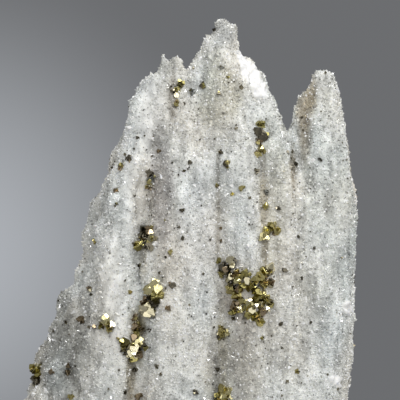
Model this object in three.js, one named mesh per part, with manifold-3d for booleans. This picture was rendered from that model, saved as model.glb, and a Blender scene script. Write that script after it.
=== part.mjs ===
// A barite specimen: a sheaf of upright ribs grown together, crusted with small blades that point up,
// with one spire that stands apart on the right and brassy chalcopyrite crystals perched on the ribs.
// Millimetres. +Z is up and the best side faces -Y. The base is a flat cut, where the specimen rests.
import * as THREE from 'three';
import { mergeVertices } from 'three/addons/utils/BufferGeometryUtils.js';
import Module from 'manifold-3d';

const wasm = await Module();
wasm.setup();

// Driving dimensions
const HEIGHT = 106;
const RING_PITCH = 7.5;
const RING_SIDES = 10;
const SQUARENESS = 0.8;
const FLUTE_DEPTH = 0.06;
const LEDGE_DEPTH = 0.05;
const TIP_RISE = 0.4;
const FACET_JITTER = 0.05;
const CUT_MARGIN = 4;
const PERCH_GAP = 0.3;

// The ribs. Each station is [height, centre x, half width, centre y, half depth], from the tip down.
const CORE = [
  [93, 6, 4, -0.5, 2.6], [80, 4.5, 12, -1, 6], [71, 3, 18, -1.5, 9], [60, 7, 26, -2, 11.5],
  [35, 6, 32, -1.5, 14.5], [0, -1, 41, 0, 18.5],
];
const FRONT_RIBS = [
  { name: 'left flank', stations: [
    [66, -19.9, 1.2, 1, 2], [55, -21.8, 2.8, 0.4, 4.4], [50, -22.6, 3.4, 0, 5], [44.5, -23.2, 3.2, -0.5, 6.4],
    [35, -26.3, 4.2, -1, 8], [20, -31.5, 5.8, -2, 10], [0, -37.5, 8, -2, 12]] },
  { name: 'left ridge', stations: [
    [92.5, -7.2, 2.6, -1, 1.8], [90, -8.2, 3.8, -2, 3], [84.5, -10.5, 4.7, -3, 4.6],
    [80, -11, 4.8, -3.5, 6], [60, -16.7, 5.7, -5, 9],
    [35, -19.5, 7, -7, 11.5], [10, -21, 9.5, -8, 14], [0, -21.5, 10.5, -8, 14.5]] },
  { name: 'left ridge outer tip', stations: [
    [97, -6.9, 0.5, -1, 0.6], [93, -6.6, 0.9, -1, 1], [88, -7, 1.6, -2, 2]] },
  { name: 'left ridge inner tip', stations: [
    [95.8, -3.4, 1, -0.5, 1.2], [91, -3.6, 1.8, -1, 2], [84, -4.8, 3, -2, 4], [72, -7, 3.4, -1.5, 6]] },
  { name: 'inner ridge', stations: [
    [97.6, 3.6, 1.3, -1, 1.6], [95, 2.5, 2, -1.2, 2.4], [85, 1.2, 5, -3, 5], [72, -0.5, 7.5, -4.5, 9],
    [60, -1.5, 9.5, -6, 11],
    [35, -2, 11, -8, 13], [10, -3, 10, -9, 14], [0, -3.5, 10.5, -9, 14.5]] },
  { name: 'central spire', stations: [
    [HEIGHT, 8, 1.5, 0, 1.4], [102, 7.9, 1.8, 0, 1.7], [100.6, 7.1, 3.8, -0.3, 2.6],
    [97.5, 7.3, 4.7, -0.8, 3.4], [92, 8.7, 6, -2, 5], [85, 9.5, 7, -3.5, 7.5], [72, 10.5, 8, -5, 10],
    [60, 12, 7.5, -6, 12], [45, 13, 6.5, -6.5, 13],
    [27, 12.5, 3.5, -6, 12], [12, 12, 2.5, -4, 8], [0, 12, 2.5, -2, 6]] },
  { name: 'centre swell', stations: [
    [90, 5.5, 3, -2, 4], [72, 5.5, 6, -5, 8.4], [60, 5.8, 7, -6.2, 10.8], [45, 6, 6, -7, 12],
    [30, 5, 4, -7, 10]] },
  { name: 'central spire side tip', stations: [
    [104.9, 11.2, 0.7, 0.3, 0.9], [100, 11, 1, 0.3, 1.4], [94, 10.8, 2, 0, 2.5]] },
  { name: 'right ridge', stations: [
    [96, 13.6, 1, 1, 1.6], [90, 16, 3.4, 0, 4], [82, 18.3, 4.6, -1, 7], [72, 19.8, 5.1, -2.5, 9],
    [60, 22, 5.6, -4, 11], [35, 20.5, 8.5, -6.5, 13], [10, 15.5, 10.5, -8, 14], [0, 14.5, 11, -8, 14]] },
  { name: 'right spire', stations: [
    [93, 33.4, 2.2, 3, 2.2], [90.5, 34, 3, 3, 3.2], [88, 34.2, 3.8, 2.6, 4], [80, 34.2, 5.2, 2, 6],
    [72, 33.6, 6.3, 1, 8], [66, 33.2, 7.6, 0.5, 9], [58, 34.6, 7.4, 0, 9.5], [35, 33.8, 7.2, -2.5, 11.5],
    [10, 31, 8.4, -4, 13], [0, 30.5, 9, -4, 13]] },
  { name: 'right spire side lobe', stations: [
    [87.2, 29.6, 0.9, 2.6, 1.4], [85.5, 28.9, 1.6, 2.4, 2.6], [82, 28.2, 1.9, 2, 4.2],
    [75, 27.2, 2.1, 1.2, 6], [64, 26.8, 2.4, 0, 8]] },
];
const BACK_RIBS = [
  { name: 'back left ridge', stations: [
    [78, -11, 1.6, 4, 2], [66, -12.5, 5, 6, 5], [40, -18, 8, 9, 8], [0, -25, 12, 10, 11]] },
  { name: 'back spire', stations: [
    [90, 3, 1.5, 3, 1.8], [80, 3, 4.5, 5, 4], [60, 1, 8, 8, 8], [30, -2, 10, 11, 9], [0, -4, 12, 11, 11]] },
  { name: 'back right ridge', stations: [
    [82, 14, 1.4, 4, 2], [68, 15.5, 5, 6.5, 5.5], [40, 17, 8.5, 9.5, 9], [0, 17, 11.5, 11, 10.5]] },
  { name: 'back flank', stations: [
    [62, 31, 2.5, 7, 3], [40, 31, 6.5, 8, 6.5], [0, 30, 9, 9, 9]] },
];
const BLADES_PER_RIB = 7;
const BLADE_HALF_WIDTH = [1.8, 3.2];
const BLADE_HALF_HEIGHT = [4, 7.5];
const BLADE_LEAN = 0.14;
const BLADE_SINK = 1.8;

// The chalcopyrite: [x, height] of each group, how far it spreads, how many crystals and their size.
// The large group is a broken ring with two arms, so its crystals are placed one by one: [x, height, size].
const MAIN_GROUP = [
  [10.3, 44.8, 2.8], [8.9, 42.5, 3], [13.6, 42.2, 2.2], [10.4, 39.8, 3.2], [13.6, 40, 2.8],
  [19, 43.3, 3], [17.2, 40.6, 3.2], [20, 39.5, 2], [11.2, 37.4, 2.8], [17.6, 38.5, 2.6],
  [17.7, 35.8, 2.8], [11.4, 33.6, 3.6], [14.9, 33.6, 3.2], [17.8, 33.2, 3], [16.6, 30.6, 3.2],
];
const FRONT_GROUPS = [
  { name: 'groove_top', at: [17.7, 76.3], spread: [1.4, 3.2], count: 6, size: 1.9 },
  { name: 'below_groove_top', at: [16.4, 67], spread: [0, 0], count: 1, size: 1.8 },
  { name: 'central_spire_brown', at: [9.7, 68.5], spread: [0, 0], count: 1, size: 2.2 },
  { name: 'right_groove_pair', at: [20, 53], spread: [1.5, 0.8], count: 4, size: 2.2 },
  { name: 'under_main_group', at: [8.4, 27.4], spread: [0.6, 0.7], count: 2, size: 2 },
  { name: 'right_ridge_dark', at: [18, 25.8], spread: [0, 0], count: 1, size: 1.6 },
  { name: 'right_spire_low', at: [26, 17.6], spread: [0.5, 0.3], count: 2, size: 1.6 },
  { name: 'inner_ridge_foot', at: [8.4, 12.4], spread: [1, 1.6], count: 4, size: 2.6 },
  { name: 'left_groove_brown', at: [-10.8, 50.2], spread: [1.4, 2.8], count: 6, size: 2.5 },
  { name: 'left_groove_large', at: [-9.4, 35.4], spread: [1.3, 2.7], count: 6, size: 3 },
  { name: 'left_groove_chain', at: [-13.7, 28.4], spread: [0.4, 1.8], count: 4, size: 1.5 },
  { name: 'left_groove_low', at: [-14.2, 23.3], spread: [1.5, 1.2], count: 4, size: 2.7 },
  { name: 'left_groove_foot', at: [-13.8, 18.2], spread: [0.2, 0.6], count: 2, size: 1.6 },
  { name: 'left_ridge_face', at: [-20.5, 29.4], spread: [1, 0.6], count: 3, size: 2 },
  { name: 'left_ridge_face_small', at: [-24.3, 27.8], spread: [0.2, 0.9], count: 2, size: 1.6 },
  { name: 'left_flank_edge', at: [-31, 29.5], spread: [0.2, 0.8], count: 2, size: 1.5 },
  { name: 'left_flank_chain', at: [-30.6, 18.5], spread: [0.2, 1.6], count: 3, size: 1.4 },
  { name: 'left_flank_low', at: [-38.2, 16.2], spread: [0.8, 1.4], count: 4, size: 1.8 },
  { name: 'left_flank_foot', at: [-29.3, 11], spread: [0.7, 0.4], count: 2, size: 1.8 },
  { name: 'left_ridge_edge_high', at: [-17.6, 68], spread: [0.7, 0.5], count: 3, size: 1.7 },
  { name: 'left_ridge_edge_mid', at: [-18.4, 62.2], spread: [0.4, 0.8], count: 2, size: 1.7 },
  { name: 'left_groove_steel', at: [-9.8, 65.4], spread: [0.6, 1.6], count: 4, size: 1.9 },
  { name: 'left_groove_high', at: [-7.5, 72], spread: [0.4, 0.8], count: 2, size: 1.3 },
  { name: 'left_groove_top', at: [-3.4, 86.6], spread: [0.6, 2.4], count: 5, size: 1.8 },
  { name: 'left_edge_mid', at: [-23.4, 50], spread: [0.2, 1.2], count: 3, size: 1.4 },
  { name: 'inner_ridge_high', at: [3.1, 88.4], spread: [0, 0], count: 1, size: 1.5 },
  { name: 'inner_ridge_mid', at: [-1.9, 57.5], spread: [0, 0], count: 1, size: 1.5 },
  { name: 'left_ridge_high', at: [-15, 70], spread: [0, 0], count: 1, size: 1.4 },
];
const BACK_GROUPS = [
  { name: 'back_centre', at: [-6, 44], spread: [2.2, 3.2], count: 7, size: 2.8 },
  { name: 'back_groove_right', at: [9.5, 60], spread: [0.8, 2.6], count: 5, size: 1.8 },
  { name: 'back_right_low', at: [14, 22], spread: [1.4, 1.2], count: 4, size: 2.4 },
  { name: 'back_left_low', at: [-26, 17], spread: [1, 1.4], count: 3, size: 2 },
  { name: 'back_spire_edge', at: [33, 41], spread: [0.8, 1.2], count: 3, size: 1.7 },
  { name: 'back_top', at: [6.5, 80], spread: [0.5, 1.2], count: 2, size: 1.6 },
];

const CRYSTAL_HALF_SIZES = [0.52, 0.62, 0.7];
const LINK_HALF_WIDTH = 0.36;
const TOUCHING = 0.8;
const LEAST_VOLUME = 1;
const LEAST_OVERLAP = 0.001;
const PERCH_OUT = 0.16;

const BARITE_COLOUR = 0xc8c8c2;
const CHALCOPYRITE_COLOUR = 0xa8934a;

// A repeatable stream of numbers from 0 to 1.
function numbersFrom(seed) {
  let state = seed;
  return () => {
    state = (state + 0x6d2b79f5) | 0;
    let mixed = Math.imul(state ^ (state >>> 15), 1 | state);
    mixed = (mixed + Math.imul(mixed ^ (mixed >>> 7), 61 | mixed)) ^ mixed;
    return ((mixed ^ (mixed >>> 14)) >>> 0) / 2 ** 32;
  };
}

const UP = new THREE.Vector3(0, 0, 1);
const between = (random, [low, high]) => low + (high - low) * random();
const eitherWay = (random) => 2 * random() - 1;

// A closed geometry as a solid, and a solid as a flat-shaded geometry.
function solidOf(geometry) {
  const bare = geometry.index ? geometry.toNonIndexed() : geometry.clone();
  bare.deleteAttribute('normal');
  bare.deleteAttribute('uv');
  const merged = mergeVertices(bare, 1e-4);
  return new wasm.Manifold(new wasm.Mesh({
    numProp: 3,
    vertProperties: new Float32Array(merged.attributes.position.array),
    triVerts: new Uint32Array(merged.index.array),
  }));
}

function geometryOf(solid) {
  const mesh = solid.getMesh();
  const geometry = new THREE.BufferGeometry();
  geometry.setAttribute('position', new THREE.BufferAttribute(new Float32Array(mesh.vertProperties), 3));
  geometry.setIndex(new THREE.BufferAttribute(new Uint32Array(mesh.triVerts), 1));
  const flat = geometry.toNonIndexed();
  flat.computeVertexNormals();
  return flat;
}

// Joins solids two by two, so that the small ones meet each other before they meet the large ones.
function union(solids) {
  if (solids.length === 1) return solids[0];
  const pairs = [];
  for (let i = 0; i < solids.length; i += 2) {
    pairs.push(i + 1 < solids.length ? solids[i].add(solids[i + 1]) : solids[i]);
  }
  return union(pairs);
}

const largest = (solid) => solid.decompose().reduce((a, b) => (a.volume() > b.volume() ? a : b));

// The section of a rib at a height, between its two nearest stations.
function sectionAt(stations, height) {
  const found = stations.findIndex(([z]) => z <= height);
  const lower = found < 0 ? stations.length - 1 : Math.max(1, found);
  const [above, below] = [stations[lower - 1], stations[lower]];
  const share = THREE.MathUtils.clamp((above[0] - height) / (above[0] - below[0]), 0, 1);
  const blended = above.map((value, i) => THREE.MathUtils.lerp(value, below[i], share));
  const [, x, halfWidth, y, halfDepth] = blended;
  return { x, halfWidth, y, halfDepth };
}

// A cosine or sine pushed outward, so that a rib's section is a little squarer than an ellipse.
const squared = (value) => Math.sign(value) * Math.abs(value) ** SQUARENESS;

// The heights of a rib's rings: one at each station, and more between stations that are far apart.
function ringHeights(foot, shoulder, stations) {
  const inside = stations.map(([height]) => height).filter((height) => height > 0 && height < shoulder);
  const marks = [foot, ...inside.filter((height) => height > foot).reverse(), shoulder];
  return marks.flatMap((mark, i) => {
    if (i === 0) return [mark];
    const steps = Math.max(1, Math.round((mark - marks[i - 1]) / RING_PITCH));
    return Array.from({ length: steps }, (_, step) => (
      THREE.MathUtils.lerp(marks[i - 1], mark, (step + 1) / steps)));
  });
}

// One rib: rings of a faceted, fluted section from below the cut up to a blunt point.
function ribGeometry(stations, random) {
  const top = stations[0][0];
  const foot = stations[stations.length - 1][0] === 0 ? -CUT_MARGIN : stations[stations.length - 1][0];
  const shoulder = top - TIP_RISE * stations[0][2];
  const heights = ringHeights(foot, shoulder, stations);
  const rings = heights.length - 1;
  const flutes = Array.from({ length: RING_SIDES }, () => FLUTE_DEPTH * eitherWay(random));
  const points = [];
  for (const height of heights) {
    const { x, halfWidth, y, halfDepth } = sectionAt(stations, height);
    const ledge = 1 + LEDGE_DEPTH * eitherWay(random);
    for (let side = 0; side < RING_SIDES; side += 1) {
      const angle = (2 * Math.PI * side) / RING_SIDES;
      const reach = ledge + flutes[side] + FACET_JITTER * eitherWay(random);
      const [across, out] = [squared(Math.cos(angle)), squared(Math.sin(angle))];
      points.push(x + halfWidth * reach * across, y + halfDepth * reach * out, height);
    }
  }
  const bottomCentre = points.length / 3;
  const bottom = sectionAt(stations, foot);
  const tip = sectionAt(stations, top);
  points.push(bottom.x, bottom.y, foot, tip.x, tip.y, top);
  const faces = [];
  for (let side = 0; side < RING_SIDES; side += 1) {
    const next = (side + 1) % RING_SIDES;
    for (let ring = 0; ring < rings; ring += 1) {
      const [a, b] = [ring * RING_SIDES + side, ring * RING_SIDES + next];
      const [c, d] = [a + RING_SIDES, b + RING_SIDES];
      faces.push(a, b, d, a, d, c);
    }
    const last = rings * RING_SIDES;
    faces.push(bottomCentre, next, side, bottomCentre + 1, last + side, last + next);
  }
  const geometry = new THREE.BufferGeometry();
  geometry.setAttribute('position', new THREE.Float32BufferAttribute(points, 3));
  geometry.setIndex(faces);
  return geometry;
}

// Upright blades on a rib's outer side, sunk in it to near their middle and leaning out a little at the top.
function bladesOn(stations, facing, random) {
  const [top, foot] = [stations[0][0], stations[stations.length - 1][0]];
  const count = Math.round((BLADES_PER_RIB * (top - foot)) / HEIGHT);
  return Array.from({ length: count }, () => {
    const height = THREE.MathUtils.lerp(foot + 3, top - 2, random());
    const angle = facing * (Math.PI * random());
    const { x, halfWidth, y, halfDepth } = sectionAt(stations, height);
    const ranges = [BLADE_HALF_WIDTH, BLADE_HALF_WIDTH, BLADE_HALF_HEIGHT];
    const size = ranges.map((range) => between(random, range));
    const shrink = THREE.MathUtils.clamp(halfWidth / 5, 0.3, 1);
    const blade = new THREE.OctahedronGeometry(1);
    blade.scale(size[0], size[1], size[2]);
    blade.rotateZ(Math.PI * random());
    blade.rotateY(BLADE_LEAN * Math.cos(angle) * random());
    blade.rotateX(-BLADE_LEAN * Math.sin(angle) * random());
    blade.scale(shrink, shrink, shrink);
    const [across, out] = [squared(Math.cos(angle)), squared(Math.sin(angle))];
    const sink = BLADE_SINK * shrink;
    blade.translate(x + (halfWidth - sink) * across, y + (halfDepth - sink) * out, height);
    return solidOf(blade);
  });
}

function bariteSolid() {
  const random = numbersFrom(11);
  const ribs = [...FRONT_RIBS, ...BACK_RIBS].map(({ stations }) => solidOf(ribGeometry(stations, random)));
  const core = solidOf(ribGeometry(CORE, random));
  const frontBlades = FRONT_RIBS.flatMap(({ stations }) => bladesOn(stations, -1, random));
  const backBlades = BACK_RIBS.flatMap(({ stations }) => bladesOn(stations, 1, random));
  const below = new THREE.BoxGeometry(4 * HEIGHT, 4 * HEIGHT, HEIGHT);
  below.translate(0, 0, -HEIGHT / 2);
  const whole = union([core, ...ribs, ...frontBlades, ...backBlades]).subtract(solidOf(below));
  return largest(whole);
}

// The point where a line along Y through [x, height] first meets the barite, from the front or the back.
function perch(bariteMesh, x, height, facing) {
  const from = new THREE.Vector3(x, facing * 2 * HEIGHT, height);
  const ray = new THREE.Raycaster(from, new THREE.Vector3(0, -facing, 0));
  const [hit] = ray.intersectObject(bariteMesh);
  return hit ? hit.point : null;
}

// One chalcopyrite crystal: two four-sided wedges base to base, close to an octahedron.
function chalcopyriteCrystal(centre, size, random) {
  const crystal = new THREE.OctahedronGeometry(size);
  crystal.scale(...CRYSTAL_HALF_SIZES);
  crystal.rotateX(Math.PI * random());
  crystal.rotateY(Math.PI * random());
  crystal.rotateZ(Math.PI * random());
  crystal.translate(centre.x, centre.y, centre.z);
  return solidOf(crystal);
}

// A slim crystal from one centre to another, which joins two neighbours into one growth.
function linkCrystal(from, to, size) {
  const along = new THREE.Vector3().subVectors(to, from);
  const link = new THREE.OctahedronGeometry(1);
  link.scale(LINK_HALF_WIDTH * size, LINK_HALF_WIDTH * size, along.length() / 2 + LINK_HALF_WIDTH * size);
  link.applyQuaternion(new THREE.Quaternion().setFromUnitVectors(UP, along.normalize()));
  link.translate((from.x + to.x) / 2, (from.y + to.y) / 2, (from.z + to.z) / 2);
  return solidOf(link);
}

// A group of crystals, set into the barite's surface and trimmed clear of it. Where a bulge of barite parts
// the group, it comes back as more than one solid, the largest first, without the slivers.
function chalcopyriteSolids(places, barite, bariteMesh, facing, random) {
  const perched = places.flatMap(([x, height, size]) => {
    const centre = perch(bariteMesh, x, height, facing);
    if (!centre) return [];
    centre.y += facing * PERCH_OUT * size;
    return [{ centre, size }];
  });
  if (!perched.length) throw new Error(`no barite behind ${places[0]}`);
  const crystals = perched.map(({ centre, size }) => chalcopyriteCrystal(centre, size, random));
  const links = perched.slice(1).flatMap(({ centre, size }, i) => {
    const apart = (other) => centre.distanceTo(other.centre);
    const near = perched.slice(0, i + 1).reduce((a, b) => (apart(a) < apart(b) ? a : b));
    const touching = apart(near) < (TOUCHING * (size + near.size)) / 2;
    return touching ? [] : [linkCrystal(near.centre, centre, Math.min(size, near.size))];
  });
  const clear = union([...crystals, ...links]).subtract(barite.translate([0, facing * PERCH_GAP, 0]));
  const overlap = clear.intersect(barite).volume();
  const pieces = (overlap > LEAST_OVERLAP ? clear.subtract(barite) : clear).decompose();
  const byVolume = pieces.sort((a, b) => b.volume() - a.volume());
  return byVolume.filter((piece, i) => i === 0 || piece.volume() > LEAST_VOLUME);
}

function placesOf({ at, spread, count, size }, random) {
  return Array.from({ length: count }, (_, i) => {
    const angle = (2 * Math.PI * i) / count + random();
    const reach = count > 2 ? Math.sqrt((i + 0.5) / count) : 1;
    const x = at[0] + reach * spread[0] * Math.cos(angle);
    const height = at[1] + reach * spread[1] * Math.sin(angle);
    return [x, height, size * (1 + 0.22 * eitherWay(random))];
  });
}

function namedMesh(name, solid, material) {
  const mesh = new THREE.Mesh(geometryOf(solid), material);
  mesh.name = name;
  return mesh;
}

const matt = (color) => new THREE.MeshStandardMaterial({ color, roughness: 0.45, metalness: 0 });
const metallic = (color) => new THREE.MeshStandardMaterial({ color, roughness: 0.25, metalness: 1 });

const specimen = new THREE.Group();
const barite = bariteSolid();
const bariteMesh = namedMesh('barite_mass', barite, matt(BARITE_COLOUR));
specimen.add(bariteMesh);

const random = numbersFrom(29);
const groups = [
  { name: 'main_group', places: MAIN_GROUP, facing: -1 },
  ...FRONT_GROUPS.map((group) => ({ name: group.name, places: placesOf(group, random), facing: -1 })),
  ...BACK_GROUPS.map((group) => ({ name: group.name, places: placesOf(group, random), facing: 1 })),
];
for (const { name, places, facing } of groups) {
  const solids = chalcopyriteSolids(places, barite, bariteMesh, facing, random);
  solids.forEach((solid, i) => {
    const suffix = i === 0 ? '' : `_${i + 1}`;
    specimen.add(namedMesh(`chalcopyrite_${name}${suffix}`, solid, metallic(CHALCOPYRITE_COLOUR)));
  });
}

// The origin is the centre of the base of the whole specimen's box.
const middle = new THREE.Box3().setFromObject(specimen).getCenter(new THREE.Vector3());
specimen.position.set(-middle.x, -middle.y, 0);

export default specimen;
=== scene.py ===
"""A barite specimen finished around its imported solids: a sheaf of upright ribs under a druse of
sub-millimetre crystals, with brassy chalcopyrite crystals and dark grains perched on it."""
from itertools import combinations

import bmesh
import bpy
import numpy as np
from mathutils import Matrix, Vector, noise
from mathutils.bvhtree import BVHTree


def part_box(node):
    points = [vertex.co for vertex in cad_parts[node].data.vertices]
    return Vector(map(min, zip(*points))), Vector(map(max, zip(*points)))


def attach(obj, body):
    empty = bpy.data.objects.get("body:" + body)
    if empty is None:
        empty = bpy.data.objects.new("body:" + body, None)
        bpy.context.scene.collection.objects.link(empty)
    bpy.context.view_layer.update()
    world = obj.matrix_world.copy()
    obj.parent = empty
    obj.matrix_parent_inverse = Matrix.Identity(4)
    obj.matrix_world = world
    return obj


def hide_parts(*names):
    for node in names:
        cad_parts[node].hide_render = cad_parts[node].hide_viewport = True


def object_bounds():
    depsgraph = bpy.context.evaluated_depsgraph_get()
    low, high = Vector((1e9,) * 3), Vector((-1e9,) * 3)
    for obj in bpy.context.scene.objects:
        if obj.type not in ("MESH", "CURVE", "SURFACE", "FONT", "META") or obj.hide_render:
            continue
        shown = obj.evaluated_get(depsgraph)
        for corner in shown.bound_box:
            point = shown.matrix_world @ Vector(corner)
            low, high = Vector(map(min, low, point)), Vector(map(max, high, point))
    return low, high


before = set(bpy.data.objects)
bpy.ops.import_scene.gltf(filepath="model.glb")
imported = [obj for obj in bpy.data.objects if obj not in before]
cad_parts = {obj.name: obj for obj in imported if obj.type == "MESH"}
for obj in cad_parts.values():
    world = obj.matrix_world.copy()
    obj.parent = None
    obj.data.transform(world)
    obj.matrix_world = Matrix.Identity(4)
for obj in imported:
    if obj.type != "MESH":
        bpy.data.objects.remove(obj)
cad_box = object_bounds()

MM = 0.001

# The photograph: its side in pixels, its scale at the ribs' faces, and the column and row that fall on
# the part's origin. The camera looks at those faces from far off. Its sensor's width is in millimetres.
PHOTO_SIDE = 400
PIXEL = 0.25 * MM
ORIGIN_COLUMN = 185.4
BASE_ROW = 440
CAMERA_DISTANCE = 0.9
FACE_Y = -8 * MM
SENSOR_WIDTH = 36

# The solid's surface, remeshed and softened. Clefts narrower than CLEFT are closed, and what lies deeper
# than KEPT_DEPTH behind its surroundings is filled up to that depth.
VOXEL = 0.58 * MM
CLEFT = 0.85 * MM
SOFTENING_ROUNDS = 6
FILLING_PASSES = 7
FILLING_ROUNDS = 30
FILLING_SPREAD_ROUNDS = 4
FILLING_SOFTENING_ROUNDS = 2
KEPT_DEPTH = 0.2 * MM
# How far behind its surroundings a point must lie to take the painted shade of the grooves.
HOLLOW_ROUNDS = 30
HOLLOW_DEPTHS = (0.1 * MM, 0.75 * MM)

# The relief laid over that surface. Ledges repeat every LEDGE_PERIOD, shifted from blade to blade by up
# to about LEDGE_SHIFT periods, and end in a shelf that takes LEDGE_SHELF of the period. The left flank's
# lumps are higher by FLANK_LUMPS times. All of it fades out at the base, and to TIP_RELIEF at the tips.
COLUMN_HEIGHT = 1.5 * MM
FLUTE_HEIGHT = 0.9 * MM
LUMP_HEIGHT = 0.75 * MM
KNOB_HEIGHT = 0.35 * MM
LEDGE_HEIGHT = 0.5 * MM
LEDGE_PERIOD = 7.5 * MM
LEDGE_SHIFT = 1.6
LEDGE_SHELF = 0.12
BREAK_STEP_HEIGHT = 0.45 * MM
FLANK_LUMPS = 2.8
FLANK_REACH = (6 * MM, 20 * MM)
BASE_FADE = (0.3 * MM, 2 * MM)
TIP_FADE = (90 * MM, 98 * MM)
TIP_RELIEF = 0.35

# On the left, the ribs fan out towards the foot.
FAN_LEAN = 0.16
FAN_START = 8 * MM
FAN_WIDTH = 25 * MM

# The lumps of each noise: width, how many times as tall as wide, and seed.
COLUMNS = (6.5 * MM, 8.0, 65.0)
FLUTES = (2.6 * MM, 9.0, 61.0)
LUMPS = (4.2 * MM, 1.6, 71.0)
KNOBS = (1.5 * MM, 1.3, 81.0)
LEDGE_PHASES = (3.6 * MM, 12.0, 51.0)
BREAK_STEPS = (1.1 * MM, 1.4, 85.0)
BREAK_RAGS = (2.5 * MM, 1.0, 4.0)
OVAL_RAGS = (6 * MM, 1.5, 11.0)
SMALL_PATCHES = (4 * MM, 1.8, 21.0)
LARGE_PATCHES = (13 * MM, 2.0, 31.0)
STREAKS = (1.5 * MM, 9.0, 41.0)
WARM_PATCHES = (9 * MM, 2.0, 41.0)
GRAIN_DRIFTS = (5 * MM, 2.0, 91.0)

# The druse's crystals are four-sided bipyramids. Lengths are half lengths, and widths and lifts are
# shares of them. The lift is how far the middle stands outside the surface. BARE_FOOT is the height below
# which there are none, and JITTER is in voxels. An axis that points out by less than LEAST_OUTWARD is
# turned straight out.
UPRIGHT = 0.5
DISORDER = 0.5
LEAST_OUTWARD = 0.2
THICKNESSES = (0.55, 1.0)
BARE_FOOT = 0.8 * MM
LOWEST_CRYSTAL = 0.05 * MM
JITTER = 0.4
DRUSE_COUNT = 80000
DRUSE_PIECES = ("left", "inner", "centre", "right")
DRUSE_LENGTH = 0.31 * MM
DRUSE_SPREAD = 0.35
DRUSE_WIDTHS = (0.6, 0.95)
DRUSE_LIFT = -0.08
DRUSE_TONE_SPREAD = 0.26
CLEAR_SHARE = 0.12
CLEAR_TONE = 0.95
BLADE_COUNT = 2600
BLADE_LENGTH = 0.76 * MM
BLADE_SPREAD = 0.25
BLADE_WIDTHS = (0.55, 0.9)
BLADE_LIFT = -0.3
BLADE_TONE_SPREAD = 0.1
FEWEST_BLADES = 0.25
BLADE_SIDES = (0.6, 0.95)

# The dark grains scattered over the druse, which they stand on.
GRAIN_COUNT = 1700
GRAIN_LENGTH = 0.20 * MM
GRAIN_SPREAD = 0.5
GRAIN_WIDTHS = (0.6, 1.0)
GRAIN_LIFT = 0.3
GRAIN_HEIGHT = 0.16 * MM
GRAIN_TONE = (0.14, 0.125, 0.09)
GRAIN_TONE_SPREAD = 0.5
PALEST_GRAIN = 0.9
FEWEST_GRAINS = 0.08
DRIFT_BORDER = (-0.15, 0.4)

# The fresh breaks, ovals without druse: middle in photograph pixels, half length and half width in
# metres, the angle of the long axis below the horizontal, and the y that they reach back to from the
# front. The first is at the right ridge's top, and the others are chips on the separate spire.
BREAKS = [
    ((253, 77), 7.0 * MM, 2.1 * MM, 62, 2.0 * MM),
    ((348, 308), 1.9 * MM, 1.4 * MM, 80, -7.0 * MM),
    ((335, 380), 2.1 * MM, 1.3 * MM, 25, -11.5 * MM),
]
BREAK_FADE = 1.0 * MM
BREAK_RAGGEDNESS = 0.35
BREAK_BORDER = (0.92, 1.08)

# The surface's base colours, as linear colours, and how strongly its patches and streaks vary them. The
# groove tone is painted shade, laid into the grooves by the groove strength.
BARITE_TONE = (0.71, 0.71, 0.675)
BREAK_TONE = (0.95, 0.95, 0.945)
GROOVE_SHADE_TONE = (0.30, 0.285, 0.25)
GROOVE_SHADE_STRENGTH = 0.4
PATCH_STRENGTH = 0.12
STREAK_STRENGTH = 0.38
WARMTH = 0.06

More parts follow.
